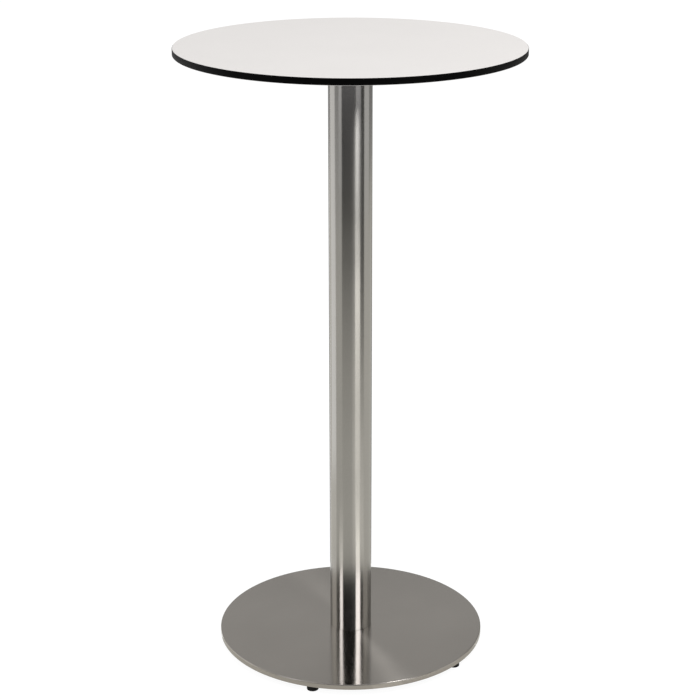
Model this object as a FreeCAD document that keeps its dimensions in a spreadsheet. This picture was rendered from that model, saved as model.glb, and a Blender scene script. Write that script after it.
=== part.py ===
import FreeCAD, Part
import os
import re
import Sketcher

# Round pub table: a compact-laminate top on a brushed steel tube and a weighted disc base.
# Millimetres, +Z up. The origin is on the floor, under the middle of the table.
# The top sits on a cast spider, one long tie rod pulls the spider, the tube, the base cover
# and the ballast plate together, and screw feet under the ballast plate level the table.

SIZES = {
    # whole table
    "table_height": 1100,
    # top: a black core with a white laminate sheet on both faces
    "top_diameter": 600,
    "top_thickness": 12,
    "top_bevel": 1.0,
    "laminate_thickness": 0.4,
    # column
    "column_diameter": 76.1,
    "column_wall": 1.5,
    # base: a folded sheet cover over a solid plate
    "base_diameter": 484,
    "base_clearance": 11.5,
    "cover_sheet": 1.2,
    "cover_edge_radius": 1.6,
    "ballast_thickness": 8,
    "ballast_recess": 0.3,
    "ballast_gap": 0.5,
    "ballast_edge_chamfer": 0.8,
    # tie rod with its nuts and washers
    "rod_diameter": 12,
    "rod_chamfer": 1.2,
    "rod_foot_recess": 0.5,
    "rod_end_margin": 7,
    "rod_nut_flats": 18,
    "rod_nut_height": 10.8,
    "rod_nut_face": 17,
    "rod_washer_diameter": 24,
    "rod_washer_thickness": 2.5,
    "rod_hole_clearance": 0.5,
    "thread_clearance": 0.05,
    # disc that centres the tube's lower end
    "centring_disc_thickness": 6,
    "tube_fit_clearance": 0.3,
    # spider under the top
    "spider_span": 300,
    "spider_depth": 26,
    "spider_spigot": 8,
    "spider_hub_bore": 42,
    "spider_hub_floor": 10,
    "spider_flange": 5,
    "spider_arm_root": 40,
    "spider_arm_tip": 26,
    "spider_web": 7,
    "spider_web_tip_depth": 4,
    "spider_screw_count": 4,
    # screws from the spider into threaded inserts in the top
    "top_screw_diameter": 6,
    "top_screw_length": 14,
    "top_screw_head": 10.5,
    "top_screw_head_height": 3.3,
    "top_screw_head_flat": 6.4,
    "top_screw_head_rim": 1.2,
    "top_screw_socket": 4,
    "top_screw_socket_depth": 2,
    "top_screw_hole_clearance": 0.4,
    "top_washer_diameter": 12,
    "top_washer_thickness": 1.6,
    "insert_diameter": 9,
    "insert_length": 9,
    "insert_hole_spare": 0.5,
    # levelling feet
    "foot_count": 5,
    "foot_inset": 15,
    "foot_first_angle": 252.8,
    "foot_pad_diameter": 21,
    "foot_pad_height": 8,
    "foot_pad_round": 1.2,
    "foot_pad_floor": 3.5,
    "foot_swivel_diameter": 12,
    "foot_swivel_thickness": 2.5,
    "foot_neck_diameter": 9,
    "foot_swivel_clearance": 0.1,
    "foot_hex_flats": 13,
    "foot_screw_diameter": 8,
    "foot_screw_clearance": 0.08,
    "foot_screw_chamfer": 1,
    "foot_screw_end_gap": 0.6,
}

# Heights and radii that follow from the sizes above
TOP_UNDERSIDE = "(table_height - top_thickness)"
CORE_THICKNESS = "(top_thickness - 2 * laminate_thickness)"
CORE_BEVEL = "(top_bevel - laminate_thickness)"
LAMINATE_INNER_RADIUS = "(top_diameter / 2 - top_bevel + laminate_thickness)"
LAMINATE_OUTER_RADIUS = "(top_diameter / 2 - top_bevel)"
TUBE_RADIUS = "(column_diameter / 2)"
TUBE_BORE = "(column_diameter / 2 - column_wall)"
PLUG_RADIUS = "(column_diameter / 2 - column_wall - tube_fit_clearance)"
COVER_HEIGHT = "(ballast_recess + ballast_thickness + cover_sheet)"
BALLAST_UNDERSIDE = "(base_clearance + ballast_recess)"
BALLAST_RADIUS = "(base_diameter / 2 - cover_sheet - ballast_gap)"
BASE_TOP = f"(base_clearance + {COVER_HEIGHT})"
TUBE_LENGTH = f"({TOP_UNDERSIDE} - spider_depth - {BASE_TOP})"
ROD_FOOT = f"({BALLAST_UNDERSIDE} + rod_foot_recess)"
ROD_LENGTH = f"({TOP_UNDERSIDE} - rod_end_margin - {ROD_FOOT})"
ROD_HOLE_RADIUS = "(rod_diameter / 2 + rod_hole_clearance)"
ROD_THREAD_RADIUS = "(rod_diameter / 2 + thread_clearance)"
LOCK_WASHER_HEIGHT = f"({BASE_TOP} + centring_disc_thickness)"
LOCK_NUT_HEIGHT = f"({LOCK_WASHER_HEIGHT} + rod_washer_thickness)"
HUB_FLOOR_HEIGHT = f"({TOP_UNDERSIDE} - spider_depth - spider_spigot + spider_hub_floor)"
TOP_NUT_HEIGHT = f"({HUB_FLOOR_HEIGHT} + rod_washer_thickness)"
SCREW_CIRCLE = "(spider_span / 2 - spider_arm_tip / 2)"
INSERT_HOLE_RADIUS = "(insert_diameter / 2 + thread_clearance)"
FOOT_CIRCLE = "(base_diameter / 2 - foot_inset)"
FOOT_STUD_HEIGHT = f"({BALLAST_UNDERSIDE} + ballast_thickness - foot_screw_end_gap)"
FOOT_SWIVEL_TOP = "(foot_pad_floor + foot_swivel_thickness)"
FOOT_HEX_BOTTOM = "(foot_pad_height + foot_swivel_clearance)"

doc = FreeCAD.newDocument("PubTable")
sheet = doc.addObject("Spreadsheet::Sheet", "Sizes")
for row, (alias, number) in enumerate(SIZES.items(), start=1):
    sheet.set(f"A{row}", alias)
    sheet.set(f"B{row}", str(number))
    sheet.setAlias(f"B{row}", alias)
doc.recompute()

ALIAS_PATTERN = re.compile(r"\b(" + "|".join(SIZES) + r")\b")
subparts = []


def on_sheet(formula):
    """The formula with each alias pointing at the sheet."""
    return ALIAS_PATTERN.sub(r"Sizes.\1", formula)


def value(formula):
    return float(sheet.evalExpression(on_sheet(formula)))


def bind(thing, name, formula):
    thing.setExpression(name, on_sheet(formula))


# ---------------------------------------------------------------- bodies and sketches

def new_body(label, height="0"):
    """An empty body at a height above the floor."""
    body = doc.addObject("PartDesign::Body", label)
    body.Label = label
    bind(body, "Placement.Base.z", height)
    subparts.append(body)
    return body


def origin_feature(body, role):
    return next(item for item in body.Origin.OriginFeatures if item.Role == role)


def new_sketch(body, name, role):
    sketch = body.newObject("Sketcher::SketchObject", f"{body.Label}_{name}")
    sketch.AttachmentSupport = (origin_feature(body, role), [""])
    sketch.MapMode = "FlatFace"
    return sketch


def pin_point(sketch, geometry, corner, point):
    """Tie a point to the sketch's origin by its two formulas; "0" puts it on an axis."""
    for kind, axis, formula in (("DistanceX", -2, point[0]), ("DistanceY", -1, point[1])):
        if formula == "0":
            sketch.addConstraint(Sketcher.Constraint("PointOnObject", geometry, corner, axis))
        else:
            distance = Sketcher.Constraint(kind, -1, 1, geometry, corner, value(formula))
            number = sketch.addConstraint(distance)
            bind(sketch, f"Constraints[{number}]", formula)


def add_polygon(sketch, points):
    corners = [FreeCAD.Vector(value(x), value(y), 0) for x, y in points]
    count = len(corners)
    for side in range(count):
        line = Part.LineSegment(corners[side], corners[(side + 1) % count])
        sketch.addGeometry(line, False)
    for side in range(count):
        joined = Sketcher.Constraint("Coincident", side, 2, (side + 1) % count, 1)
        sketch.addConstraint(joined)
    for side, point in enumerate(points):
        pin_point(sketch, side, 1, point)


def add_circle(sketch, centre, radius):
    middle = FreeCAD.Vector(value(centre[0]), value(centre[1]), 0)
    circle = Part.Circle(middle, FreeCAD.Vector(0, 0, 1), value(radius))
    number = sketch.addGeometry(circle, False)
    pin_point(sketch, number, 3, centre)
    size = sketch.addConstraint(Sketcher.Constraint("Radius", number, value(radius)))
    bind(sketch, f"Constraints[{size}]", radius)


def add_axis(sketch, distance):
    """An upright construction line at a distance from the sketch's own axis."""
    across = value(distance)
    line = Part.LineSegment(FreeCAD.Vector(across, 0, 0), FreeCAD.Vector(across, 1, 0))
    number = sketch.addGeometry(line, True)
    sketch.addConstraint(Sketcher.Constraint("Vertical", number))
    pin_point(sketch, number, 1, (distance, "0"))


def hexagon(flats):
    corner = f"{flats} / sqrt(3)"
    half = f"{flats} / 2"
    return [
        (corner, "0"),
        (f"{corner} / 2", half),
        (f"-{corner} / 2", half),
        (f"-{corner}", "0"),
        (f"-{corner} / 2", f"-{half}"),
        (f"{corner} / 2", f"-{half}"),
    ]


# ---------------------------------------------------------------- features

def revolve(body, name, points, axis_at=None):
    """Turn a closed outline of (radius, height) points about Z, or about an offset axis."""
    sketch = new_sketch(body, f"{name}_outline", "XZ_Plane")
    add_polygon(sketch, points)
    if axis_at:
        add_axis(sketch, axis_at)
    feature = body.newObject("PartDesign::Revolution", f"{body.Label}_{name}")
    feature.Profile = sketch
    feature.ReferenceAxis = (sketch, ["Axis0" if axis_at else "V_Axis"])
    feature.Angle = 360
    return feature


def groove(body, name, points):
    """Cut a ring with the outline of (radius, height) points about Z."""
    doc.recompute()
    before = body.Shape.Volume
    sketch = new_sketch(body, f"{name}_outline", "XZ_Plane")
    add_polygon(sketch, points)
    feature = body.newObject("PartDesign::Groove", f"{body.Label}_{name}")
    feature.Profile = sketch
    feature.ReferenceAxis = (sketch, ["V_Axis"])
    feature.Angle = 360
    check_cut(body, feature, before)
    return feature


def pad(body, name, sketch, length, downwards=False, midplane=False):
    feature = body.newObject("PartDesign::Pad", f"{body.Label}_{name}")
    feature.Profile = sketch
    feature.Reversed = downwards
    feature.Midplane = midplane
    bind(feature, "Length", length)
    return feature


def pocket(body, name, sketch, depth, upwards=True):
    doc.recompute()
    before = body.Shape.Volume
    feature = body.newObject("PartDesign::Pocket", f"{body.Label}_{name}")
    feature.Profile = sketch
    feature.Reversed = upwards
    bind(feature, "Length", depth)
    check_cut(body, feature, before)
    return feature


def check_cut(body, feature, before):
    doc.recompute()
    if not body.Shape.Volume < before:
        raise RuntimeError(f"{feature.Label} cuts nothing")


def around(body, name, originals, count):
    """Repeat features around Z."""
    pattern = body.newObject("PartDesign::PolarPattern", f"{body.Label}_{name}")
    pattern.Originals = originals
    pattern.Axis = (origin_feature(body, "Z_Axis"), [""])
    pattern.Angle = 360
    bind(pattern, "Occurrences", count)
    body.Tip = pattern
    return pattern


def circle_edges(shape, radius, height):
    """Names of the round edges about Z with this radius and height in the body's frame."""
    names = []
    for number, edge in enumerate(shape.Edges, start=1):
        curve = edge.Curve
        if not isinstance(curve, Part.Circle):
            continue
        centred = abs(curve.Center.x) < 1e-6 and abs(curve.Center.y) < 1e-6
        level = abs(curve.Center.z - height) < 1e-6
        if centred and level and abs(curve.Radius - radius) < 1e-6:
            names.append(f"Edge{number}")
    return names


def dress_edge(body, kind, name, radius, height, size):
    """Round or chamfer the one round edge with this radius and height."""
    doc.recompute()
    base = body.Tip
    feature = body.newObject(f"PartDesign::{kind}", f"{body.Label}_{name}")
    feature.Base = (base, circle_edges(base.Shape, value(radius), value(height)))
    bind(feature, "Radius" if kind == "Fillet" else "Size", size)
    return feature


# ---------------------------------------------------------------- top

def make_top_core():
    """Black core with bevelled edges and blind holes for the threaded inserts."""
    body = new_body("top_core", f"{TOP_UNDERSIDE} + laminate_thickness")
    inner = f"(top_diameter / 2 - {CORE_BEVEL})"
    revolve(body, "disc", [
        ("0", "0"),
        (inner, "0"),
        ("top_diameter / 2", CORE_BEVEL),
        ("top_diameter / 2", f"{CORE_THICKNESS} - {CORE_BEVEL}"),
        (inner, CORE_THICKNESS),
        ("0", CORE_THICKNESS),
    ])
    sketch = new_sketch(body, "insert_hole_circle", "XY_Plane")
    add_circle(sketch, (SCREW_CIRCLE, "0"), INSERT_HOLE_RADIUS)
    depth = "insert_length - laminate_thickness + insert_hole_spare"
    hole = pocket(body, "insert_hole", sketch, depth)
    around(body, "insert_holes", [hole], "spider_screw_count")


def make_face_laminate():
    """White sheet on the upper face; its edge follows the core's bevel."""
    body = new_body("top_face_laminate", "table_height - laminate_thickness")
    revolve(body, "sheet", [
        ("0", "0"),
        (LAMINATE_INNER_RADIUS, "0"),
        (LAMINATE_OUTER_RADIUS, "laminate_thickness"),
        ("0", "laminate_thickness"),
    ])


def make_back_laminate():
    """Balancing sheet on the underside, drilled through for the inserts."""
    body = new_body("top_back_laminate", TOP_UNDERSIDE)
    revolve(body, "sheet", [
        ("0", "0"),
        (LAMINATE_OUTER_RADIUS, "0"),
        (LAMINATE_INNER_RADIUS, "laminate_thickness"),
        ("0", "laminate_thickness"),
    ])
    sketch = new_sketch(body, "insert_hole_circle", "XY_Plane")
    add_circle(sketch, (SCREW_CIRCLE, "0"), INSERT_HOLE_RADIUS)
    hole = pocket(body, "insert_hole", sketch, "laminate_thickness")
    around(body, "insert_holes", [hole], "spider_screw_count")


def make_top_inserts():
    """Threaded brass sleeves, flush with the underside of the top."""
    body = new_body("top_inserts", TOP_UNDERSIDE)
    sketch = new_sketch(body, "section", "XY_Plane")
    add_circle(sketch, (SCREW_CIRCLE, "0"), "insert_diameter / 2")
    add_circle(sketch, (SCREW_CIRCLE, "0"), "top_screw_diameter / 2 + thread_clearance")
    sleeve = pad(body, "sleeve", sketch, "insert_length")
    around(body, "sleeves", [sleeve], "spider_screw_count")


# ---------------------------------------------------------------- spider and its screws

def make_spider():
    """Cast spider: a hub that plugs into the tube and T-section arms to the screws."""
    body = new_body("top_spider", TOP_UNDERSIDE)
    seat = "-spider_depth"
    bottom = "(-spider_depth - spider_spigot)"
    floor = f"({bottom} + spider_hub_floor)"
    revolve(body, "hub", [
        (ROD_HOLE_RADIUS, bottom),
        (PLUG_RADIUS, bottom),
        (PLUG_RADIUS, seat),
        (TUBE_RADIUS, seat),
        (TUBE_RADIUS, "0"),
        ("spider_hub_bore / 2", "0"),
        ("spider_hub_bore / 2", floor),
        (ROD_HOLE_RADIUS, floor),
    ])
    arm_root = f"(spider_hub_bore / 4 + {TUBE_RADIUS} / 2)"
    flange_outline = new_sketch(body, "flange_outline", "XY_Plane")
    add_polygon(flange_outline, [
        (arm_root, "-spider_arm_root / 2"),
        (SCREW_CIRCLE, "-spider_arm_tip / 2"),
        (SCREW_CIRCLE, "spider_arm_tip / 2"),
        (arm_root, "spider_arm_root / 2"),
    ])
    flange = pad(body, "flange", flange_outline, "spider_flange", downwards=True)
    tip_outline = new_sketch(body, "tip_outline", "XY_Plane")
    add_circle(tip_outline, (SCREW_CIRCLE, "0"), "spider_arm_tip / 2")
    tip = pad(body, "tip", tip_outline, "spider_flange", downwards=True)
    web_end = f"({SCREW_CIRCLE} - top_washer_diameter)"
    web_outline = new_sketch(body, "web_outline", "XZ_Plane")
    add_polygon(web_outline, [
        (arm_root, "-spider_flange / 2"),
        (web_end, "-spider_flange / 2"),
        (web_end, "-spider_flange - spider_web_tip_depth"),
        (arm_root, "-spider_depth"),
    ])
    web = pad(body, "web", web_outline, "spider_web", midplane=True)
    around(body, "arms", [flange, tip, web], "spider_screw_count")
    hole_circle = new_sketch(body, "hole_circle", "XY_Plane")
    hole_radius = "top_screw_diameter / 2 + top_screw_hole_clearance"
    add_circle(hole_circle, (SCREW_CIRCLE, "0"), hole_radius)
    hole = pocket(body, "hole", hole_circle, "spider_flange", upwards=False)
    around(body, "holes", [hole], "spider_screw_count")


def make_spider_screws():
    """Button-head screws, heads down, with a hexagon socket."""
    body = new_body("spider_screws", TOP_UNDERSIDE)
    seat = "(-spider_flange - top_washer_thickness)"
    head_bottom = f"({seat} - top_screw_head_height)"

    def beside_axis(distance, height):
        return (f"{SCREW_CIRCLE} + {distance}", height)

    screw = revolve(body, "screw", [
        (SCREW_CIRCLE, head_bottom),
        beside_axis("top_screw_head_flat / 2", head_bottom),
        beside_axis("top_screw_head / 2", f"{seat} - top_screw_head_rim"),
        beside_axis("top_screw_head / 2", seat),
        beside_axis("top_screw_diameter / 2", seat),
        beside_axis("top_screw_diameter / 2", f"{seat} + top_screw_length"),
        (SCREW_CIRCLE, f"{seat} + top_screw_length"),
    ], axis_at=SCREW_CIRCLE)
    socket_outline = new_sketch(body, "socket_outline", "XY_Plane")
    add_polygon(socket_outline, [
        (f"{SCREW_CIRCLE} + {x}", y) for x, y in hexagon("top_screw_socket")
    ])
    bind(socket_outline, "AttachmentOffset.Base.z", head_bottom)
    socket = pocket(body, "socket", socket_outline, "top_screw_socket_depth")
    around(body, "screws", [screw, socket], "spider_screw_count")


def make_spider_washers():
    body = new_body("spider_washers", f"{TOP_UNDERSIDE} - spider_flange - top_washer_thickness")
    sketch = new_sketch(body, "section", "XY_Plane")
    add_circle(sketch, (SCREW_CIRCLE, "0"), "top_washer_diameter / 2")
    hole_radius = "top_screw_diameter / 2 + top_screw_hole_clearance"
    add_circle(sketch, (SCREW_CIRCLE, "0"), hole_radius)
    washer = pad(body, "washer", sketch, "top_washer_thickness")
    around(body, "washers", [washer], "spider_screw_count")


# ---------------------------------------------------------------- column and tie rod

def make_column_tube():
    """Plain tube from the base cover to the spider's shoulder."""
    make_ring("column_tube", TUBE_RADIUS, TUBE_BORE, TUBE_LENGTH, BASE_TOP)


def make_ring(label, outer, inner, thickness, height):
    body = new_body(label, height)
    sketch = new_sketch(body, "section", "XY_Plane")
    add_circle(sketch, ("0", "0"), outer)
    add_circle(sketch, ("0", "0"), inner)
    pad(body, "ring", sketch, thickness)
    return body


def make_rod_washer(label, height):
    make_ring(label, "rod_washer_diameter / 2", ROD_HOLE_RADIUS, "rod_washer_thickness", height)


def make_rod_nut(label, height):
    """Hexagon nut with its corners turned down at both ends."""
    body = new_body(label, height)
    sketch = new_sketch(body, "section", "XY_Plane")
    add_polygon(sketch, hexagon("rod_nut_flats"))
    add_circle(sketch, ("0", "0"), ROD_THREAD_RADIUS)
    pad(body, "block", sketch, "rod_nut_height")
    face = "rod_nut_face / 2"
    outside = "(rod_nut_flats * 2 / 3)"
    slope = f"(({outside} - {face}) * tan(30 deg))"
    groove(body, "lower_corners", [(face, "0"), (outside, "0"), (outside, slope)])
    groove(body, "upper_corners", [
        (face, "rod_nut_height"),
        (outside, "rod_nut_height"),
        (outside, f"rod_nut_height - {slope}"),
    ])


def make_tie_rod():
    """Threaded rod, screwed into the ballast plate and nutted inside the spider's hub."""
    body = new_body("tie_rod", ROD_FOOT)
    sketch = new_sketch(body, "section", "XY_Plane")
    add_circle(sketch, ("0", "0"), "rod_diameter / 2")
    pad(body, "shaft", sketch, ROD_LENGTH)
    dress_edge(body, "Chamfer", "lower_end", "rod_diameter / 2", "0", "rod_chamfer")
    dress_edge(body, "Chamfer", "upper_end", "rod_diameter / 2", ROD_LENGTH, "rod_chamfer")


# ---------------------------------------------------------------- base

def make_base_cover():
    """Sheet disc with its edge folded down around the ballast plate."""
    body = new_body("base_cover", "base_clearance")
    inside = f"({COVER_HEIGHT} - cover_sheet)"
    inner_wall = "(base_diameter / 2 - cover_sheet)"
    revolve(body, "shell", [
        (ROD_HOLE_RADIUS, inside),
        (inner_wall, inside),
        (inner_wall, "0"),
        ("base_diameter / 2", "0"),
        ("base_diameter / 2", COVER_HEIGHT),
        (ROD_HOLE_RADIUS, COVER_HEIGHT),
    ])
    outer = "base_diameter / 2"
    dress_edge(body, "Fillet", "fold_outside", outer, COVER_HEIGHT, "cover_edge_radius")
    inner_fold = "cover_edge_radius - cover_sheet"
    dress_edge(body, "Fillet", "fold_inside", inner_wall, inside, inner_fold)


def make_ballast_plate():
    """Solid steel disc with tapped holes for the tie rod and the feet."""
    body = new_body("ballast_plate", BALLAST_UNDERSIDE)
    bind(body, "Placement.Rotation.Angle", "foot_first_angle")
    sketch = new_sketch(body, "section", "XY_Plane")
    add_circle(sketch, ("0", "0"), BALLAST_RADIUS)
    add_circle(sketch, ("0", "0"), ROD_THREAD_RADIUS)
    pad(body, "disc", sketch, "ballast_thickness")
    chamfer = "ballast_edge_chamfer"
    dress_edge(body, "Chamfer", "lower_edge", BALLAST_RADIUS, "0", chamfer)
    dress_edge(body, "Chamfer", "upper_edge", BALLAST_RADIUS, "ballast_thickness", chamfer)
    hole_circle = new_sketch(body, "foot_hole_circle", "XY_Plane")
    add_circle(hole_circle, (FOOT_CIRCLE, "0"), "foot_screw_diameter / 2 + foot_screw_clearance")
    hole = pocket(body, "foot_hole", hole_circle, "ballast_thickness")
    around(body, "foot_holes", [hole], "foot_count")


def make_centring_disc():
    """Disc on the base cover that holds the tube's lower end in the middle."""
    make_ring(
        "lower_centring_disc", PLUG_RADIUS, ROD_HOLE_RADIUS, "centring_disc_thickness", BASE_TOP
    )


# ---------------------------------------------------------------- feet

def place_foot_piece(body, number):
    """Move a foot's piece to its place on the foot circle."""
    angle = f"((foot_first_angle + {number - 1} * 360 / foot_count) * 1 deg)"
    bind(body, "Placement.Base.x", f"{FOOT_CIRCLE} * cos({angle})")
    bind(body, "Placement.Base.y", f"{FOOT_CIRCLE} * sin({angle})")


def make_foot_pad(number):
    """Round pad, moulded around the swivel flange of its screw."""
    body = new_body(f"foot_{number}_pad")
    radius = "foot_pad_diameter / 2"
    mouth = "(foot_neck_diameter / 2 + foot_swivel_clearance)"
    socket = "(foot_swivel_diameter / 2 + foot_swivel_clearance)"
    ledge = f"({FOOT_SWIVEL_TOP} + foot_swivel_clearance)"
    revolve(body, "disc", [
        ("0", "0"),
        (radius, "0"),
        (radius, "foot_pad_height"),
        (mouth, "foot_pad_height"),
        (mouth, ledge),
        (socket, ledge),
        (socket, "foot_pad_floor"),
        ("0", "foot_pad_floor"),
    ])
    dress_edge(body, "Fillet", "lower_edge", radius, "0", "foot_pad_round")
    dress_edge(body, "Fillet", "upper_edge", radius, "foot_pad_height", "foot_pad_round")
    place_foot_piece(body, number)


def make_foot_screw(number):
    """Swivel flange and neck, a hexagon that seats under the ballast plate, and the stud."""
    body = new_body(f"foot_{number}_screw")
    flange = "foot_swivel_diameter / 2"
    neck = "foot_neck_diameter / 2"
    revolve(body, "swivel", [
        ("0", "foot_pad_floor"),
        (flange, "foot_pad_floor"),
        (flange, FOOT_SWIVEL_TOP),
        (neck, FOOT_SWIVEL_TOP),
        (neck, FOOT_HEX_BOTTOM),
        ("0", FOOT_HEX_BOTTOM),
    ])
    hex_outline = new_sketch(body, "hex_outline", "XY_Plane")
    add_polygon(hex_outline, hexagon("foot_hex_flats"))
    bind(hex_outline, "AttachmentOffset.Base.z", FOOT_HEX_BOTTOM)
    pad(body, "hex", hex_outline, f"{BALLAST_UNDERSIDE} - {FOOT_HEX_BOTTOM}")
    stud_outline = new_sketch(body, "stud_outline", "XY_Plane")
    add_circle(stud_outline, ("0", "0"), "foot_screw_diameter / 2")
    bind(stud_outline, "AttachmentOffset.Base.z", FOOT_HEX_BOTTOM)
    pad(body, "stud", stud_outline, f"{FOOT_STUD_HEIGHT} - {FOOT_HEX_BOTTOM}")
    end = ("foot_screw_diameter / 2", FOOT_STUD_HEIGHT)
    dress_edge(body, "Chamfer", "stud_end", *end, "foot_screw_chamfer")
    place_foot_piece(body, number)


# ---------------------------------------------------------------- the table

make_top_core()
make_face_laminate()
make_back_laminate()
make_top_inserts()
make_spider()
make_spider_screws()
make_spider_washers()
make_column_tube()
make_tie_rod()
make_rod_washer("tie_rod_top_washer", HUB_FLOOR_HEIGHT)
make_rod_nut("tie_rod_top_nut", TOP_NUT_HEIGHT)
make_rod_washer("tie_rod_lock_washer", LOCK_WASHER_HEIGHT)
make_rod_nut("tie_rod_lock_nut", LOCK_NUT_HEIGHT)
make_centring_disc()
make_base_cover()
make_ballast_plate()
for foot_number in range(1, int(value("foot_count")) + 1):
    make_foot_pad(foot_number)
    make_foot_screw(foot_number)
doc.recompute()

for item in doc.Objects:
    if any(word in state for state in item.State for word in ("Invalid", "Error")):
        raise RuntimeError(f"{item.Label} failed: {item.State}")
for piece in subparts:
    if piece.Shape.isNull() or not piece.Shape.isValid():
        raise RuntimeError(f"{piece.Label} has no valid shape")

os.makedirs("parts", exist_ok=True)
for piece in subparts:
    piece.Shape.exportStep(f"parts/{piece.Label}.step")
    box = piece.Shape.BoundBox
    solids = len(piece.Shape.Solids)
    print(f"{piece.Label}: {solids} solid(s), z {box.ZMin:.2f} to {box.ZMax:.2f}")
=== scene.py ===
import math

import bmesh
import bpy
from mathutils import Matrix, Vector


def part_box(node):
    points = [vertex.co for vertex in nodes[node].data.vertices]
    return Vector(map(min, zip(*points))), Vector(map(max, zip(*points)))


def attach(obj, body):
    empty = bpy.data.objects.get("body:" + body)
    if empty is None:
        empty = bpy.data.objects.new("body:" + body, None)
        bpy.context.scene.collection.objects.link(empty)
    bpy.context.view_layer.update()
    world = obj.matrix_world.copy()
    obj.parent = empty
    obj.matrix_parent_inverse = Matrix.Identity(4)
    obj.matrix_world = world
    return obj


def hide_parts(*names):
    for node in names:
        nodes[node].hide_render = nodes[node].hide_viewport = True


# The looks of a round pub table: a white compact-laminate top with a black edge, a brushed
# stainless column and a low round base on five screw feet. Metres, +Z up, the front faces -Y.

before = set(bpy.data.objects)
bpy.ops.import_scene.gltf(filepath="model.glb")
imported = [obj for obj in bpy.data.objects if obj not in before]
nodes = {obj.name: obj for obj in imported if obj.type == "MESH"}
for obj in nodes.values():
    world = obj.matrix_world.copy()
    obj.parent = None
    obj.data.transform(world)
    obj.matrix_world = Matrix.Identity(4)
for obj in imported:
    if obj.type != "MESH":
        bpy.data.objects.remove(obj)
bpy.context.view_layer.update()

MM = 0.001
FULL_TURN = 2 * math.pi
SHARP_ANGLE = math.radians(32)

# Camera, fitted to the outlines of the top, the column and the base
CAMERA_PLACE = (-0.0009, -3.167, 1.636)
CAMERA_PITCH = math.radians(-18.81)
CAMERA_ROLL = math.radians(-0.05)
CAMERA_LENS = 96.79
CAMERA_SENSOR = 36

# How finely round pieces are divided
WIDE_SEGMENTS = 360
COLUMN_SEGMENTS = 180
FOOT_SEGMENTS = 96
SMALL_SEGMENTS = 48
SOFT_STEPS = 3
LARGEST_CUT = 0.45  # the share of a side that a softened corner may take


# ---------------------------------------------------------------- sizes read from the frame

def reach(name):
    """The largest distance of a node's box from the table's axis, along X or Y."""
    low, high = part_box(name)
    return max(high[0], high[1], -low[0], -low[1])


def bottom(name):
    """The height of a node's lowest point."""
    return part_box(name)[0][2]


def top(name):
    """The height of a node's highest point."""
    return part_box(name)[1][2]


def middle(name):
    """The upright axis through the middle of a node's box, as a point on the floor."""
    low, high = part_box(name)
    return Vector(((low[0] + high[0]) / 2, (low[1] + high[1]) / 2, 0))


# ---------------------------------------------------------------- mesh building

def new_object(name, mesh_maker):
    """An object whose faces are smooth, with its steep edges kept sharp."""
    mesh = bpy.data.meshes.new(name)
    bmesh.ops.recalc_face_normals(mesh_maker, faces=mesh_maker.faces)
    mesh_maker.to_mesh(mesh)
    mesh_maker.free()
    shade(mesh)
    piece = bpy.data.objects.new(name, mesh)
    bpy.context.scene.collection.objects.link(piece)
    return piece


def shade(mesh):
    """Smooth shading, with the steep edges sharp."""
    mesh.shade_smooth()
    mesh.set_sharp_from_angle(angle=SHARP_ANGLE)


def plain(radius):
    """A ring of one radius, for add_rings."""
    return lambda angle: radius


def plain_rings(outline):
    """A ring of one radius for each (radius, height) point of an outline."""
    return [(height, plain(radius)) for radius, height in outline]


def hexagon(across_flats, largest=math.inf):
    """A hexagon ring, its corners cut back to a largest radius."""
    def radius_at(angle):
        from_flat = (angle + math.pi / 6) % (math.pi / 3) - math.pi / 6
        return min(across_flats / 2 / math.cos(from_flat), largest)
    return radius_at


def thread(major, minor, pitch, height, largest):
    """A ring through a screw thread at a height, cut back to a largest radius at its ends.

    Over one pitch the profile has a crest, a root and two flanks, each a quarter of it long.
    """
    def radius_at(angle):
        turn = (height / pitch - angle / FULL_TURN) % 1
        depth = min(max(abs(turn - 0.5) * 4 - 0.5, 0), 1)
        return min(major - (major - minor) * depth, largest)
    return radius_at


def add_rings(maker, centre, rings, segments, closed=False):
    """Join rings of (height, radius function) into a skin.

    Its two ends get faces, or where it is closed the last ring joins the first.
    """
    loops = []
    for height, radius_at in rings:
        loop = []
        for step in range(segments):
            angle = FULL_TURN * step / segments
            radius = radius_at(angle)
            place = Vector((radius * math.cos(angle), radius * math.sin(angle), height))
            loop.append(maker.verts.new(centre + place))
        loops.append(loop)
    pairs = list(zip(loops, loops[1:]))
    if closed:
        pairs.append((loops[-1], loops[0]))
    for lower, upper in pairs:
        for step in range(segments):
            after = (step + 1) % segments
            maker.faces.new((lower[step], lower[after], upper[after], upper[step]))
    if not closed:
        maker.faces.new(loops[0])
        maker.faces.new(loops[-1])


def curve(start, corner, end, steps):
    """Points of a curve from start to end that bends towards a corner."""
    points = []
    for step in range(steps + 1):
        share = step / steps
        first = start.lerp(corner, share)
        points.append(tuple(first.lerp(corner.lerp(end, share), share)))
    return points


def soften(outline, radius, closed=False):
    """The (radius, height) outline with its corners rounded by short curves.

    An outline that isn't closed keeps its two end points.
    """
    softened = []
    count = len(outline)
    for number, corner in enumerate(outline):
        at_end = number in (0, count - 1)
        if at_end and not closed:
            softened.append(corner)
            continue
        here = Vector(corner)
        before = Vector(outline[number - 1]) - here
        after = Vector(outline[(number + 1) % count]) - here
        cut = min(radius, before.length * LARGEST_CUT, after.length * LARGEST_CUT)
        start = here + before.normalized() * cut
        end = here + after.normalized() * cut
        softened += curve(start, here, end, SOFT_STEPS)
    return softened


def arc(centre, radius, start, end, steps=8):
    """Points of a round corner, as (radius, height), between two angles in degrees."""
    points = []
    for step in range(steps + 1):
        angle = math.radians(start + (end - start) * step / steps)
        points.append((centre[0] + radius * math.cos(angle), centre[1] + radius * math.sin(angle)))
    return points


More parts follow.
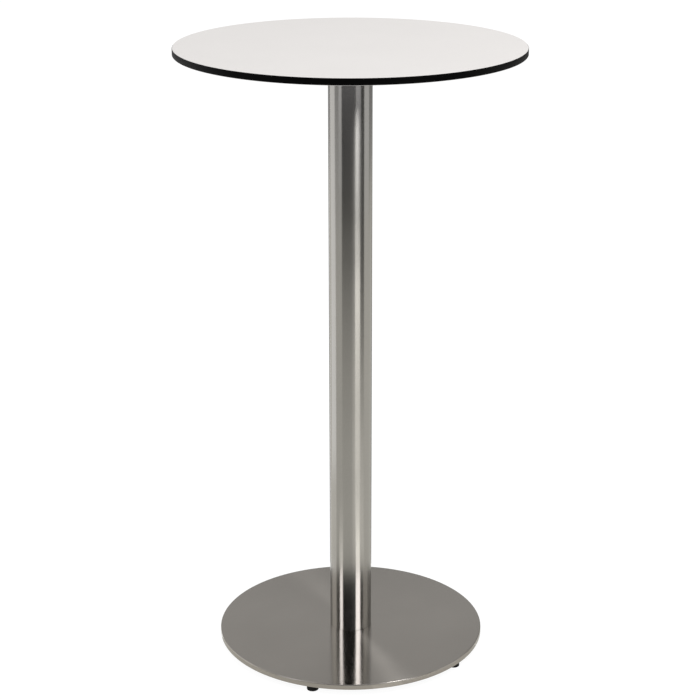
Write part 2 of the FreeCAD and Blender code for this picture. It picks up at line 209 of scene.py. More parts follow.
def turned(name, outline, segments=WIDE_SEGMENTS, centre=Vector(), closed=False):
    """A solid of revolution from an outline of (radius, height) points."""
    maker = bmesh.new()
    add_rings(maker, centre, plain_rings(outline), segments, closed)
    return new_object(name, maker)


def drill(piece, centres, radius, low, high):
    """Cut upright round holes through a piece between two heights."""
    maker = bmesh.new()
    for centre in centres:
        add_rings(maker, centre, [(low, plain(radius)), (high, plain(radius))], SMALL_SEGMENTS)
    cutter = new_object("cutter", maker)
    cut = piece.modifiers.new("holes", "BOOLEAN")
    cut.object = cutter
    cut.solver = "EXACT"
    apply_modifiers(piece)
    shade(piece.data)
    bpy.data.objects.remove(cutter)


def apply_modifiers(piece):
    """Replace a piece's mesh by the one its modifiers make."""
    depsgraph = bpy.context.evaluated_depsgraph_get()
    mesh = bpy.data.meshes.new_from_object(piece.evaluated_get(depsgraph))
    piece.modifiers.clear()
    old = piece.data
    piece.data = mesh
    bpy.data.meshes.remove(old)


# ---------------------------------------------------------------- materials

NOISE_LOW = 0.3
NOISE_HIGH = 0.7


def node(tree, kind, inputs=None, **settings):
    """A shader node with its plain inputs and settings filled in."""
    made = tree.nodes.new("ShaderNode" + kind)
    for name, setting in settings.items():
        setattr(made, name, setting)
    for name, number in (inputs or {}).items():
        made.inputs[name].default_value = number
    return made


def blank_tree(owner):
    """The emptied node tree of a material, a lamp or the world."""
    owner.use_nodes = True
    owner.node_tree.nodes.clear()
    return owner.node_tree


def show(tree, surface, output_kind="OutputMaterial"):
    """Make a shader the one that a tree shows."""
    output = node(tree, output_kind)
    tree.links.new(surface, output.inputs["Surface"])


def new_material(name, **sockets):
    """A material with a Principled shader, and its sockets that are the same all over."""
    material = bpy.data.materials.new(name)
    tree = blank_tree(material)
    shader = node(tree, "BsdfPrincipled")
    for socket, number in sockets.items():
        shader.inputs[socket.replace("_", " ")].default_value = number
    show(tree, shader.outputs["BSDF"])
    return material, tree, shader


def scaled_place(tree, *scale):
    """Object coordinates in metres, multiplied by one number or by one for each axis."""
    place = node(tree, "TexCoord")
    scaling = node(tree, "Mapping")
    scaling.inputs["Scale"].default_value = scale if len(scale) == 3 else scale * 3
    tree.links.new(place.outputs["Object"], scaling.inputs["Vector"])
    return scaling.outputs["Vector"]


def noise_at(tree, vector, detail, roughness=0.5):
    """A noise that mostly stays between NOISE_LOW and NOISE_HIGH."""
    texture = node(tree, "TexNoise", {"Scale": 1, "Detail": detail, "Roughness": roughness})
    tree.links.new(vector, texture.inputs["Vector"])
    return texture.outputs["Fac"]


def ramp(tree, factor, low, high, start=NOISE_LOW, end=NOISE_HIGH):
    """A number from low to high as the factor goes from start to end."""
    mapped = node(tree, "MapRange", {
        "From Min": start, "From Max": end, "To Min": low, "To Max": high,
    })
    tree.links.new(factor, mapped.inputs["Value"])
    return mapped.outputs["Result"]


def tint(tree, factor, dark, light):
    """A colour from dark to light as a noise goes from low to high."""
    colours = node(tree, "ValToRGB")
    first, last = colours.color_ramp.elements
    first.position, first.color = NOISE_LOW, (*dark, 1)
    last.position, last.color = NOISE_HIGH, (*light, 1)
    tree.links.new(factor, colours.inputs["Fac"])
    return colours.outputs["Color"]


def bump(tree, shader, layers):
    """Stack bump layers of (height, depth in metres) on a shader's normal."""
    last = None
    for height, depth in layers:
        layer = node(tree, "Bump", {"Strength": 1, "Distance": depth})
        tree.links.new(height, layer.inputs["Height"])
        if last:
            tree.links.new(last.outputs["Normal"], layer.inputs["Normal"])
        last = layer
    tree.links.new(last.outputs["Normal"], shader.inputs["Normal"])


def give_surface(tree, shader, colour, roughness, layers):
    """Give a shader its colour, its roughness and its bump layers."""
    tree.links.new(colour, shader.inputs["Base Color"])
    tree.links.new(roughness, shader.inputs["Roughness"])
    bump(tree, shader, layers)


def roughness_about(tree, factor, mean, spread):
    """A roughness that strays from its mean by a share of it, up and down."""
    return ramp(tree, factor, mean * (1 - spread), mean * (1 + spread))


def combine(tree, kind, first, second):
    """A Math node of two numbers, where the second may be a plain number."""
    made = node(tree, "Math", operation=kind)
    tree.links.new(first, made.inputs[0])
    if isinstance(second, (int, float)):
        made.inputs[1].default_value = second
    else:
        tree.links.new(second, made.inputs[1])
    return made.outputs["Value"]


def mix_shaders(tree, factor, first, second):
    """The first shader where the factor is 0, and the second where it is 1."""
    mixed = node(tree, "MixShader")
    tree.links.new(factor, mixed.inputs["Fac"])
    tree.links.new(first, mixed.inputs[1])
    tree.links.new(second, mixed.inputs[2])
    return mixed.outputs["Shader"]


def round_brushing(tree, across, around):
    """Coordinates for marks that run round the Z axis: slow around it, quick away from it."""
    place = node(tree, "TexCoord")
    split = node(tree, "SeparateXYZ")
    tree.links.new(place.outputs["Object"], split.inputs["Vector"])
    x, y, z = (split.outputs[axis] for axis in "XYZ")
    squares = combine(tree, "ADD", combine(tree, "MULTIPLY", x, x), combine(tree, "MULTIPLY", y, y))
    radius = combine(tree, "SQRT", squares, 0)
    heading = node(tree, "CombineXYZ")
    away = combine(tree, "ADD", radius, z)
    tree.links.new(combine(tree, "DIVIDE", x, radius), heading.inputs["X"])
    tree.links.new(combine(tree, "DIVIDE", y, radius), heading.inputs["Y"])
    tree.links.new(away, heading.inputs["Z"])
    scaling = node(tree, "Mapping")
    scaling.inputs["Scale"].default_value = (around, around, across)
    tree.links.new(heading.outputs["Vector"], scaling.inputs["Vector"])
    return scaling.outputs["Vector"]


ACROSS_BRUSHING = 0.25  # a quarter turn, so that light spreads across the brushing
STEEL_ROUGHNESS_SPREAD = 0.12
STEEL_SMUDGE_SHARE = 0.89
PLASTIC_ROUGHNESS_SPREAD = 0.15


def brushed_steel(name, roughness, anisotropy, colour):
    """Stainless steel with fine brushing round the table's axis, and smudges."""
    material, tree, shader = new_material(
        name, Metallic=1, Anisotropic=anisotropy, Anisotropic_Rotation=ACROSS_BRUSHING
    )
    tangent = node(tree, "Tangent", direction_type="RADIAL", axis="Z")
    tree.links.new(tangent.outputs["Tangent"], shader.inputs["Tangent"])
    lines = noise_at(tree, round_brushing(tree, across=5200, around=7), detail=4, roughness=0.6)
    bands = noise_at(tree, round_brushing(tree, across=420, around=3), detail=2)
    smudges = noise_at(tree, scaled_place(tree, 9), detail=3)
    mixed = combine(tree, "ADD", combine(tree, "MULTIPLY", lines, 0.5),
                    combine(tree, "MULTIPLY", smudges, 0.5))
    darker = tuple(channel * STEEL_SMUDGE_SHARE for channel in colour)
    give_surface(
        tree, shader, tint(tree, mixed, darker, colour),
        roughness_about(tree, mixed, roughness, STEEL_ROUGHNESS_SPREAD),
        [(lines, 0.0015 * MM), (bands, 0.005 * MM)],
    )
    return material


def laminate_white():
    """Matt white laminate: a fine pressed grain and the faintest mottling."""
    material, tree, shader = new_material("laminate_white_finish", Specular_IOR_Level=0.35)
    grain = noise_at(tree, scaled_place(tree, 1400), detail=2)
    mottle = noise_at(tree, scaled_place(tree, 6), detail=3)
    colour = tint(tree, mottle, (0.787, 0.762, 0.744), (0.802, 0.777, 0.759))
    give_surface(tree, shader, colour, ramp(tree, grain, 0.5, 0.62), [(grain, 0.012 * MM)])
    return material


def core_black():
    """Black phenolic core: thin pressed layers that show as lines along the edge."""
    material, tree, shader = new_material("core_black_finish", Specular_IOR_Level=0.05)
    layers = noise_at(tree, scaled_place(tree, 3, 3, 5200), detail=2)
    specks = noise_at(tree, scaled_place(tree, 900), detail=2)
    colour = tint(tree, layers, (0.0012, 0.0012, 0.0013), (0.0032, 0.0031, 0.0032))
    give_surface(tree, shader, colour, ramp(tree, specks, 0.3, 0.42),
                 [(layers, 0.008 * MM), (specks, 0.006 * MM)])
    return material


def cast_iron_coated():
    """Black powder coat over a sand casting: orange peel over slow hollows."""
    material, tree, shader = new_material("spider_cast_finish", Specular_IOR_Level=0.5)
    peel = noise_at(tree, scaled_place(tree, 700), detail=2)
    cast = noise_at(tree, scaled_place(tree, 120), detail=4)
    colour = tint(tree, cast, (0.012, 0.012, 0.013), (0.022, 0.022, 0.023))
    give_surface(tree, shader, colour, ramp(tree, peel, 0.38, 0.56),
                 [(cast, 0.09 * MM), (peel, 0.03 * MM)])
    return material


def painted_plate():
    """Black paint on a sawn steel plate."""
    material, tree, shader = new_material("ballast_paint_finish")
    waves = noise_at(tree, scaled_place(tree, 60), detail=5)
    specks = noise_at(tree, scaled_place(tree, 600), detail=2)
    colour = tint(tree, waves, (0.022, 0.022, 0.023), (0.04, 0.04, 0.042))
    give_surface(tree, shader, colour, ramp(tree, specks, 0.45, 0.62),
                 [(waves, 0.12 * MM), (specks, 0.02 * MM)])
    return material


def zinc_plating():
    """Bright zinc plating with a faint bloom."""
    material, tree, shader = new_material("fastener_zinc_finish", Metallic=1)
    bloom = noise_at(tree, scaled_place(tree, 180), detail=4)
    grain = noise_at(tree, scaled_place(tree, 2500), detail=1)
    colour = tint(tree, bloom, (0.46, 0.47, 0.5), (0.62, 0.62, 0.61))
    give_surface(tree, shader, colour, ramp(tree, bloom, 0.3, 0.45), [(grain, 0.006 * MM)])
    return material


def insert_brass():
    """Turned brass gone dull in places."""
    material, tree, shader = new_material("insert_brass_finish", Metallic=1)
    dull = noise_at(tree, scaled_place(tree, 250), detail=4)
    colour = tint(tree, dull, (0.45, 0.31, 0.12), (0.66, 0.49, 0.22))
    give_surface(tree, shader, colour, ramp(tree, dull, 0.28, 0.45), [(dull, 0.01 * MM)])
    return material


def moulded_plastic(name, dark, light, roughness, shine=0.5):
    """Moulded plastic with a spark-eroded texture."""
    material, tree, shader = new_material(name, Specular_IOR_Level=shine)
    texture = noise_at(tree, scaled_place(tree, 1800), detail=2)
    flow = noise_at(tree, scaled_place(tree, 90), detail=2)
    give_surface(
        tree, shader, tint(tree, flow, dark, light),
        roughness_about(tree, texture, roughness, PLASTIC_ROUGHNESS_SPREAD),
        [(texture, 0.015 * MM)],
    )
    return material


COLUMN_STEEL = (0.503, 0.488, 0.462)
COVER_STEEL = (0.515, 0.482, 0.44)
FINISHES = {
    "laminate_white": laminate_white(),
    "core_black": core_black(),
    "spider_cast": cast_iron_coated(),
    "ballast_paint": painted_plate(),
    "fastener_zinc": zinc_plating(),
    "insert_brass": insert_brass(),
    "disc_plastic": moulded_plastic(
        "disc_plastic_finish", (0.03, 0.03, 0.03), (0.048, 0.048, 0.05), 0.45
    ),
    "foot_plastic": moulded_plastic(
        "foot_plastic_finish", (0.005, 0.005, 0.005), (0.01, 0.01, 0.011), 0.4, 0.2
    ),
    "column_steel": brushed_steel("column_steel_finish", 0.19, 0.72, COLUMN_STEEL),
    "cover_steel": brushed_steel("cover_steel_finish", 0.165, 1.0, COVER_STEEL),
}


def dress(piece, name, slot, finish=None, body="table"):
    """Let a piece stand for a node: its finish and the body it moves with.

    A piece has the finish of its slot's name, unless it is given another.
    """
    piece.data.materials.clear()
    piece.data.materials.append(FINISHES[finish or slot])
    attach(piece, body)
    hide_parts(name)


# ---------------------------------------------------------------- the top

TOP_BEVEL = 1 * MM
EDGE_ROUND = 0.15 * MM
INSERT_FIT = 0.05 * MM
INSERT_GAP = 0.5 * MM
SCREW_HEAD = 10.5 * MM
SCREW_RADIUS = 3 * MM
SCREW_CIRCLE = reach("spider_screws") - SCREW_HEAD / 2
INSERT_HOLE = reach("top_inserts") - SCREW_CIRCLE + INSERT_FIT
INSERT_HOLE_TOP = top("top_inserts") + INSERT_GAP
SCREW_PLACES = [
    Vector((SCREW_CIRCLE * math.cos(turn), SCREW_CIRCLE * math.sin(turn), 0))
    for turn in (FULL_TURN * quarter / 4 for quarter in range(4))
]


def make_top():
    """The black core and the white sheet on each face, with one bevel at 45 degrees over both."""
    edge = reach("top_core")
    face = top("top_face_laminate")
    back = bottom("top_back_laminate")
    core_low, core_high = bottom("top_core"), top("top_core")
    core_edge = edge - TOP_BEVEL + (face - core_high)
    sheet_edge = edge - TOP_BEVEL
    core = turned("core_board", soften([
        (core_edge, core_low),
        (edge, back + TOP_BEVEL),
        (edge, face - TOP_BEVEL),
        (core_edge, core_high),
    ], EDGE_ROUND))
    drill(core, SCREW_PLACES, INSERT_HOLE, back - TOP_BEVEL, INSERT_HOLE_TOP)
    dress(core, "top_core", "core_black")
    upper = turned("face_sheet", [(core_edge, core_high), (sheet_edge, face)])
    dress(upper, "top_face_laminate", "laminate_white")
    lower = turned("back_sheet", [(sheet_edge, back), (core_edge, core_low)])
    drill(lower, SCREW_PLACES, INSERT_HOLE, back - TOP_BEVEL, INSERT_HOLE_TOP)
    dress(lower, "top_back_laminate", "laminate_white")


# ---------------------------------------------------------------- the column and the base

TUBE_WALL = 1.5 * MM
FOOT_BREAK = 0.6 * MM
COVER_SHEET = 1.2 * MM
COVER_FOLD = 1.6 * MM
ROD_HOLE = 6.5 * MM


def make_column():
    """The brushed tube, faced square at both ends, its foot broken so that a fine seam shows."""
    outer = reach("column_tube")
    inner = outer - TUBE_WALL
    low, high = bottom("column_tube"), top("column_tube")
    corners = [(outer, low), (outer, high), (inner, high), (inner, low), (outer, low)]
    # The arc stands for the corner at both ends of the list
    outline = [
        *arc((outer - FOOT_BREAK, low + FOOT_BREAK), FOOT_BREAK, -90, 0, 6),
        *soften(corners, EDGE_ROUND)[1:-1],
    ]
    tube = turned("brushed_tube", outline, COLUMN_SEGMENTS, closed=True)
    dress(tube, "column_tube", "stainless_brushed", finish="column_steel")


def make_base_cover():
    """The pressed sheet disc with its edge folded down round the ballast plate."""
    outer = reach("base_cover")
    low, high = bottom("base_cover"), top("base_cover")
    inner = outer - COVER_SHEET
    inside = high - COVER_SHEET
    fold = (outer - COVER_FOLD, high - COVER_FOLD)
    corners = [(inner, inside), (inner, low), (outer, low), (outer, high)]
    # The arcs of the fold stand for the corners at the two ends of the list
    outline = [
        (ROD_HOLE, high),
        (ROD_HOLE, inside),
        *arc(fold, COVER_FOLD - COVER_SHEET, 90, 0, 4),
        *soften(corners, EDGE_ROUND)[1:-1],
        *arc(fold, COVER_FOLD, 0, 90),
    ]
    cover = turned("pressed_cover", outline, closed=True)
    dress(cover, "base_cover", "stainless_brushed", finish="cover_steel")


# ---------------------------------------------------------------- the spider and its screws

SPIDER_VOXEL = 1.2 * MM
SPIDER_SMOOTHNESS = 0.5
SPIDER_SMOOTHINGS = 6
SCREW_HEAD_HEIGHT = 3.3 * MM
SCREW_HEAD_FLAT = 3.2 * MM
SCREW_HEAD_RIM = 1.2 * MM
SCREW_SOCKET = 4 * MM
SCREW_SOCKET_DEPTH = 2 * MM
SCREW_PITCH = 1 * MM
DOME_STEPS = 6
WASHER_RADIUS = 6 * MM
WASHER_HOLE = 3.4 * MM
WASHER_ROUND = 0.3 * MM
THREAD_DEPTH = 0.6134  # of the pitch
THREAD_LEAD = 0.5  # of the pitch, turned down at the end of the thread
RINGS_PER_PITCH = 8


def make_spider():
    """The casting: the CAD solid's own mesh with every edge softened as sand casting leaves it."""
    spider = bpy.data.objects.new("cast_spider", nodes["top_spider"].data.copy())
    bpy.context.scene.collection.objects.link(spider)
    remesh = spider.modifiers.new("voxels", "REMESH")
    remesh.mode = "VOXEL"
    remesh.voxel_size = SPIDER_VOXEL
    remesh.use_smooth_shade = True
    smooth = spider.modifiers.new("smooth", "SMOOTH")
    smooth.factor = SPIDER_SMOOTHNESS
    smooth.iterations = SPIDER_SMOOTHINGS
    apply_modifiers(spider)
    dress(spider, "top_spider", "spider_cast")


def threaded(major, pitch, low, high):
    """Rings of a screw thread from low to high, turned down at its high end."""
    minor = major - THREAD_DEPTH * pitch
    lead = THREAD_LEAD * pitch
    count = max(int((high - low) / pitch * RINGS_PER_PITCH), 2)
    rings = []
    for step in range(count + 1):
        height = low + (high - low) * step / count
        largest = minor + max(high - height, 0) * (major - minor) / lead
        rings.append((height, thread(major, minor, pitch, height, largest)))
    return rings


def at_each_screw(name, rings, closed=False):
    """One object that has the same rings at each of the spider's four screws."""
    maker = bmesh.new()
    for place in SCREW_PLACES:
        add_rings(maker, place, rings, SMALL_SEGMENTS, closed)
    return new_object(name, maker)


def make_spider_screws():
    """Button heads with hexagon sockets, below, and a rolled thread up to each turned-down end."""
    low = bottom("spider_screws")
    seat = low + SCREW_HEAD_HEIGHT
    head = SCREW_HEAD / 2
    flat_edge = Vector((SCREW_HEAD_FLAT, low))
    corner = Vector((head, low))
    rim = Vector((head, seat - SCREW_HEAD_RIM))
    screws = at_each_screw("button_screws", [
        (low + SCREW_SOCKET_DEPTH, hexagon(SCREW_SOCKET)),
        (low, hexagon(SCREW_SOCKET)),
        *plain_rings(curve(flat_edge, corner, rim, DOME_STEPS)),
        (seat, plain(head)),
        (seat, plain(SCREW_RADIUS)),
        *threaded(SCREW_RADIUS, SCREW_PITCH, seat + SCREW_PITCH, top("spider_screws")),
    ])
    dress(screws, "spider_screws", "fastener_zinc")


def make_spider_washers():
    """Flat washers with rounded edges."""
    low, high = bottom("spider_washers"), top("spider_washers")
    section = soften([
        (WASHER_HOLE, low), (WASHER_RADIUS, low), (WASHER_RADIUS, high), (WASHER_HOLE, high),
    ], WASHER_ROUND, closed=True)
    washers = at_each_screw("flat_washers", plain_rings(section), closed=True)
    dress(washers, "spider_washers", "fastener_zinc")


# ---------------------------------------------------------------- the feet

FOOT_COUNT = 5
FOOT_PAD_ROUND = 1.2 * MM
FOOT_PAD_FLOOR = 3.5 * MM
FOOT_SWIVEL = 6 * MM
FOOT_SWIVEL_TOP = 6 * MM
FOOT_NECK = 4.5 * MM
FOOT_FIT = 0.1 * MM
FOOT_HEX = 13 * MM
FOOT_HEX_ROUND = 7.1 * MM
FOOT_THREAD = 4 * MM
FOOT_PITCH = 1.25 * MM
FOOT_HEX_CHAMFER = 0.4 * MM


def make_foot_pad(number):
    """The moulded pad, closed round the flange of its screw."""
    name = f"foot_{number}_pad"
    low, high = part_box(name)
    radius = (high[0] - low[0]) / 2
    floor, rim = low[2], high[2]
    mouth = FOOT_NECK + FOOT_FIT
    socket = FOOT_SWIVEL + FOOT_FIT
    ledge = FOOT_SWIVEL_TOP + FOOT_FIT
    corner = radius - FOOT_PAD_ROUND
    outline = [
        *arc((corner, floor + FOOT_PAD_ROUND), FOOT_PAD_ROUND, -90, 0, 6),
        *arc((corner, rim - FOOT_PAD_ROUND), FOOT_PAD_ROUND, 0, 90, 6),
        (mouth, rim),
        (mouth, ledge),
        (socket, ledge),
        (socket, FOOT_PAD_FLOOR),
    ]
    pad = turned(f"foot_{number}_cap", outline, FOOT_SEGMENTS, middle(name))
    dress(pad, name, "foot_plastic", body=f"foot_{number}")


def make_foot_screw(number):
    """The swivel flange, the neck, the hexagon under the ballast plate and the M8 stud."""
    name = f"foot_{number}_screw"
    pad_top = top(f"foot_{number}_pad")
    hex_low = pad_top + FOOT_FIT
    hex_high = bottom("ballast_plate")
    rings = [
        (bottom(name), plain(FOOT_SWIVEL)),
        (FOOT_SWIVEL_TOP, plain(FOOT_SWIVEL)),
        (FOOT_SWIVEL_TOP, plain(FOOT_NECK)),
        (hex_low, plain(FOOT_NECK)),
        (hex_low, hexagon(FOOT_HEX, FOOT_HEX / 2)),
        (hex_low + FOOT_HEX_CHAMFER, hexagon(FOOT_HEX, FOOT_HEX_ROUND)),
        (hex_high - FOOT_HEX_CHAMFER, hexagon(FOOT_HEX, FOOT_HEX_ROUND)),
        (hex_high, hexagon(FOOT_HEX, FOOT_HEX / 2)),
        *threaded(FOOT_THREAD, FOOT_PITCH, hex_high, top(name)),
    ]
    maker = bmesh.new()
    add_rings(maker, middle(f"foot_{number}_pad"), rings, FOOT_SEGMENTS)
    screw = new_object(f"foot_{number}_stud", maker)
    dress(screw, name, "fastener_zinc", body=name)


# ---------------------------------------------------------------- the nodes kept as they are

KEPT_NODES = (
    "top_inserts", "tie_rod", "tie_rod_top_nut", "tie_rod_top_washer",
    "tie_rod_lock_nut", "tie_rod_lock_washer", "lower_centring_disc", "ballast_plate",
)


def dress_kept_nodes():
    """Give the CAD nodes that nothing replaces the finish of their own slot's name."""
    for name in KEPT_NODES:
        slot = nodes[name].material_slots[0]
        slot.material = FINISHES[slot.material.name.split(".")[0]]


# ---------------------------------------------------------------- the studio

WHITE = (1, 1, 1, 1)
FLOOR_RADIUS = 120
FLOOR_COLOUR = (0.8, 0.8, 0.8, 1)
FLOOR_SHADOW_SHARE = 0.16
BACKGROUND_GLOW = 1.13
WORLD_LIGHT = 0.75
STUDIO_RADIUS = 5.2
CARD_ROWS = 12
CARD_STEP = 3
CARD_LIFT = 0.2 * MM

# Cards that only reflections see. Azimuths turn from the camera's side to the right of the
# picture, in degrees. A wall card has its azimuths, its elevations and its brightness.
WALL_CARDS = {
    "wall_front_low": ((-45, 25), (0, 12), 0.02),
    "wall_left_low": ((-88, -45), (0, 12), 0.45),
    "wall_left_dark": ((-88, -61), (12, 60), 0.14),
    "wall_left": ((-128, -88), (0, 60), 0.95),
    "wall_right_low": ((25, 56), (0, 12), 0.1),
    "wall_right_dark": ((56, 76), (0, 60), 0.08),
    "wall_right": ((76, 112), (0, 60), 0.65),
    "wall_back_right": ((112, 162), (0, 60), 0.27),
    "wall_back_left": ((198, 232), (0, 60), 0.38),
    "wall_back_low": ((162, 198), (0, 12), 0.15),
    "wall_back": ((162, 198), (12, 47), 0.46),
    "wall_back_high": ((162, 198), (47, 80), 0.16),
}
# A floor card has its azimuths, its distances from the table's axis, its brightness and a lamp
# height: the brightness falls off away from the axis as under one lamp at that height, and not at
# all where the height is infinite. A later card lies over an earlier one.
BASE_EDGE = reach("base_cover")
FLOOR_CARDS = {
    # Painted shadow of the base on the floor: a dark card under it that only reflections see
    "floor_under": ((0, 360), (0.01, BASE_EDGE), 0.3, math.inf),
    "floor_front": ((-45, 10), (BASE_EDGE, STUDIO_RADIUS), 0.59, 5.2),
    "floor_front_right": ((10, 24), (BASE_EDGE, STUDIO_RADIUS), 0.7, 5.2),
    "floor_left": ((-84, -45), (BASE_EDGE, STUDIO_RADIUS), 0.6, math.inf),
    # Painted shadow of the base on the floor to its right, darker than the floor further out
    "floor_right_near": ((24, 76), (BASE_EDGE, 0.3), 0.58, math.inf),
    "floor_right_middle": ((24, 52), (0.3, 2.5), 0.95, math.inf),
    # Painted pool of lamp light on the floor, that only reflections see
    "floor_right_pool": ((24, 52), (2.5, 3.7), 1.75, math.inf),
    "floor_right_far": ((24, 52), (3.7, STUDIO_RADIUS), 0.1, math.inf),
    "floor_right_dark": ((52, 76), (0.3, STUDIO_RADIUS), 0.85, 2.8),
    "floor_right": ((76, 150), (BASE_EDGE, STUDIO_RADIUS), 0.66, math.inf),
    "floor_back": ((150, 210), (0.3, STUDIO_RADIUS), 0.2, math.inf),
    "floor_far_left": ((-140, -122), (0.3, STUDIO_RADIUS), 0.74, math.inf),
    "floor_far_left_near": ((-122, -84), (0.3, 0.8), 0.77, math.inf),
    # Painted pools of lamp light on the floor close to the base, that only reflections see
    "floor_left_glow": ((-64, -42), (0.3, 0.55), 1.9, 0.6),
    "floor_right_glow": ((29, 50), (0.3, 0.55), 3.2, 0.6),
}
# The softboxes and the dark wall between them have a brightness in a first mirror, and another
# after a second one, as where the column mirrors the base. The first is mild, so that the base
# neither glares nor turns black when it is seen from behind.
TWO_LEVEL_CARDS = {
    "softbox_left": ((-64, -47), (14, 46), 1.1, 4.4),
    "softbox_right": ((30, 56), (14, 46), 1.1, 5.0),
    "wall_front": ((-46, 29), (12, 90), 0.26, 0.004),
}
FLOOR_CARD_COLOUR = (1.015, 1, 0.94, 1)
SOFTBOX_DISTANCE = 5
SOFTBOX_COLOUR = (0.97, 0.975, 1.05, 1)
LAMP_AIM_HEIGHT = 1
OVERHEAD_PLACE = (0.9, -0.6, 3.3)
OVERHEAD_SIZE = 2.0
OVERHEAD_WATTS = 27
GLINT_PLACE = (0.82, 1.05, 3.3)
GLINT_SIZE = 0.55
GLINT_WATTS = 12
STREAK_PLACE = (1.99, -2.64, 2.7)
STREAK_SIZE = 1.2
STREAK_WATTS = 480
MIRRORED_SHARE = 0.01


def glow_for_lenses(tree):
    """1 for camera, glossy and transmission rays, 0 for the light that falls on things."""
    path = node(tree, "LightPath")
    seen = combine(tree, "MAXIMUM", path.outputs["Is Camera Ray"], path.outputs["Is Glossy Ray"])
    return combine(tree, "MAXIMUM", seen, path.outputs["Is Transmission Ray"])


def make_world():
    """White to the camera and in mirrors, and a dimmer light on everything."""
    world = bpy.data.worlds.new("studio")
    bpy.context.scene.world = world
    tree = blank_tree(world)
    light = node(tree, "Background", {"Color": WHITE, "Strength": WORLD_LIGHT})
    white = node(tree, "Background", {"Color": WHITE, "Strength": 1})
    chosen = mix_shaders(tree, glow_for_lenses(tree), light.outputs["Background"],
                         white.outputs["Background"])
    show(tree, chosen, "OutputWorld")


def make_floor():
    """A wide pale floor that looks white and keeps a share of the shadow. From below it is clear."""
    maker = bmesh.new()
    bmesh.ops.create_circle(maker, cap_ends=True, segments=SMALL_SEGMENTS, radius=FLOOR_RADIUS)
    floor = new_object("floor", maker)
    material = bpy.data.materials.new("floor_finish")
    tree = blank_tree(material)
    matt = node(tree, "BsdfDiffuse", {"Color": FLOOR_COLOUR})
    white = node(tree, "Emission", {"Strength": BACKGROUND_GLOW})
    share = combine(tree, "MULTIPLY", glow_for_lenses(tree), 1 - FLOOR_SHADOW_SHARE)
    seen = mix_shaders(tree, share, matt.outputs["BSDF"], white.outputs["Emission"])
    clear = node(tree, "BsdfTransparent")
    side = node(tree, "NewGeometry")
    both = mix_shaders(tree, side.outputs["Backfacing"], seen, clear.outputs["BSDF"])
    show(tree, both)
    floor.data.materials.append(material)


def card_material(name, level, lamp_height=math.inf, twice_mirrored=None, colour=WHITE):
    """A plain glow. It may fall off from the axis, or differ after a second mirror."""
    material = bpy.data.materials.new(name)
    tree = blank_tree(material)
    glow = node(tree, "Emission", {"Color": colour, "Strength": level})
    if lamp_height < math.inf:
        place = node(tree, "TexCoord")
        distance = node(tree, "VectorMath", operation="LENGTH")
        tree.links.new(place.outputs["Object"], distance.inputs["Vector"])
        share = combine(tree, "DIVIDE", distance.outputs["Value"], lamp_height)
        spread = combine(tree, "ADD", combine(tree, "POWER", share, 2), 1)
        falloff = combine(tree, "POWER", spread, -2)
        tree.links.new(combine(tree, "MULTIPLY", falloff, level), glow.inputs["Strength"])
    if twice_mirrored:
        mirrors = node(tree, "LightPath").outputs["Glossy Depth"]
        strength = ramp(tree, mirrors, level, twice_mirrored, 1, 2)
        tree.links.new(strength, glow.inputs["Strength"])
    show(tree, glow.outputs["Emission"])
    material.cycles.emission_sampling = "NONE"
    return material


def studio_point(azimuth, elevation, distance=STUDIO_RADIUS):
    """A place in the studio, its azimuth turning from the camera's side to the picture's right."""
    turn, rise = math.radians(azimuth), math.radians(elevation)
    level = distance * math.cos(rise)
    return Vector((level * math.sin(turn), -level * math.cos(turn), distance * math.sin(rise)))


def add_patch(maker, azimuths, rows, place):
    """A sheet of faces over a range of azimuths and a list of rows."""
    steps = max(int((azimuths[1] - azimuths[0]) / CARD_STEP), 2)
    lines = []
    for row in rows:
        line = []
        for step in range(steps + 1):
            azimuth = azimuths[0] + (azimuths[1] - azimuths[0]) * step / steps
            line.append(maker.verts.new(place(azimuth, row)))
        lines.append(line)
    for lower, upper in zip(lines, lines[1:]):
        for step in range(steps):
            maker.faces.new((lower[step], lower[step + 1], upper[step + 1], upper[step]))


def make_card(name, azimuths, rows, place, material):
    """A card between two azimuths, with its rows spread between two elevations or distances."""
    maker = bmesh.new()
    spread = [rows[0] + (rows[1] - rows[0]) * step / CARD_ROWS for step in range(CARD_ROWS + 1)]
    add_patch(maker, azimuths, spread, place)
    card = new_object(name, maker)
    card.data.materials.append(material)
    card.visible_camera = False
    card.visible_diffuse = False
    card.visible_shadow = False


def make_cards():
    """The cards of the wall, of the floor and with two levels."""
    for name, (azimuths, elevations, level) in WALL_CARDS.items():
        make_card(name, azimuths, elevations, studio_point, card_material(f"{name}_glow", level))
    for number, (name, numbers) in enumerate(FLOOR_CARDS.items(), start=1):
        azimuths, distances, level, lamp_height = numbers
        lift = Vector((0, 0, number * CARD_LIFT))
        make_card(name, azimuths, distances,
                  lambda azimuth, distance: studio_point(azimuth, 0, distance) + lift,
                  card_material(f"{name}_glow", level, lamp_height, colour=FLOOR_CARD_COLOUR))
    for name, (azimuths, elevations, level, twice_mirrored) in TWO_LEVEL_CARDS.items():
        make_card(name, azimuths, elevations,
                  lambda azimuth, rise: studio_point(azimuth, rise, SOFTBOX_DISTANCE),
                  card_material(f"{name}_glow", level, twice_mirrored=twice_mirrored,
                                colour=SOFTBOX_COLOUR))


def fade_in_mirrors(light):
    """Let a lamp show little where the base mirrors the column."""
    tree = blank_tree(light)
    glow = node(tree, "Emission", {"Color": WHITE})
    mirrors = node(tree, "LightPath").outputs["Glossy Depth"]
    tree.links.new(ramp(tree, mirrors, 1, MIRRORED_SHARE, 0, 1), glow.inputs["Strength"])
    show(tree, glow.outputs["Emission"], "OutputLight")


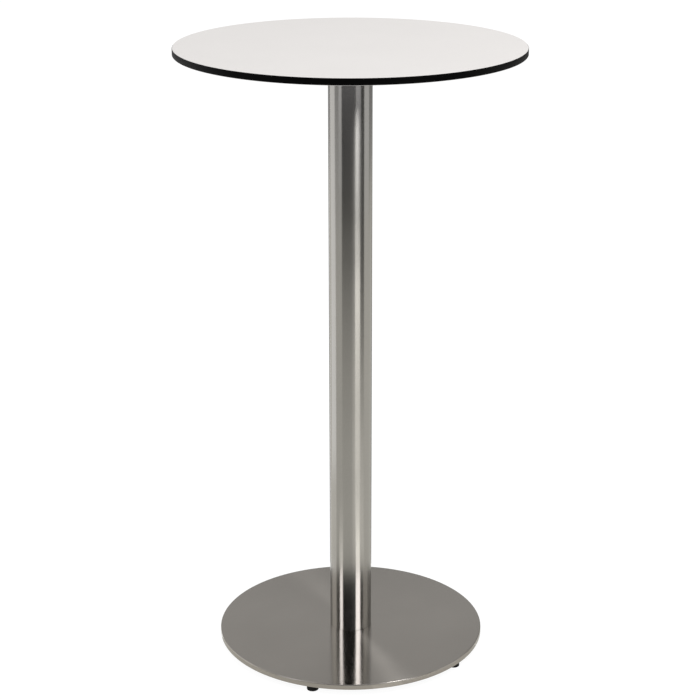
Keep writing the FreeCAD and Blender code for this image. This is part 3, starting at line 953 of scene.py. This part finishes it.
def add_area_light(name, place, size, watts):
    """A square lamp that faces the table's axis."""
    light = bpy.data.lights.new(name, "AREA")
    light.shape = "SQUARE"
    light.size = size
    light.energy = watts
    lamp = bpy.data.objects.new(name, light)
    lamp.location = place
    aim = Vector((0, 0, LAMP_AIM_HEIGHT)) - Vector(place)
    lamp.rotation_euler = aim.to_track_quat("-Z", "Y").to_euler()
    lamp.visible_camera = False
    bpy.context.scene.collection.objects.link(lamp)
    return lamp


def choose_receivers(lamp, pieces, choice):
    """Let a lamp light these pieces only ("INCLUDE"), or everything but them ("EXCLUDE")."""
    receivers = bpy.data.collections.new(f"{lamp.name}_receivers")
    lamp.light_linking.receiver_collection = receivers
    for piece in pieces:
        receivers.objects.link(bpy.data.objects[piece])
    for entry in receivers.collection_objects:
        entry.light_linking.link_state = choice


def make_lights():
    """A soft lamp over the table, and two that only draw streaks on the brushed steel."""
    overhead = add_area_light("overhead", OVERHEAD_PLACE, OVERHEAD_SIZE, OVERHEAD_WATTS)
    choose_receivers(overhead, ["pressed_cover", "brushed_tube"], "EXCLUDE")
    glint = add_area_light("glint", GLINT_PLACE, GLINT_SIZE, GLINT_WATTS)
    choose_receivers(glint, ["pressed_cover"], "INCLUDE")
    streak = add_area_light("streak", STREAK_PLACE, STREAK_SIZE, STREAK_WATTS)
    choose_receivers(streak, ["brushed_tube"], "INCLUDE")
    fade_in_mirrors(streak.data)


def make_camera():
    """The camera that took the photograph, as far as its outlines tell."""
    data = bpy.data.cameras.new("camera")
    data.lens = CAMERA_LENS
    data.sensor_width = CAMERA_SENSOR
    data.clip_end = 2 * FLOOR_RADIUS
    camera = bpy.data.objects.new("camera", data)
    upright = Matrix.Rotation(math.pi / 2 + CAMERA_PITCH, 4, "X")
    camera.matrix_world = (
        Matrix.Translation(CAMERA_PLACE) @ upright @ Matrix.Rotation(CAMERA_ROLL, 4, "Z")
    )
    bpy.context.scene.collection.objects.link(camera)
    bpy.context.scene.camera = camera


# ---------------------------------------------------------------- putting it together

make_camera()
make_top()
make_column()
make_base_cover()
make_spider()
make_spider_screws()
make_spider_washers()
for foot_number in range(1, FOOT_COUNT + 1):
    make_foot_pad(foot_number)
    make_foot_screw(foot_number)
dress_kept_nodes()

make_world()
make_floor()
make_cards()
make_lights()

bpy.context.scene.view_settings.view_transform = "Standard"
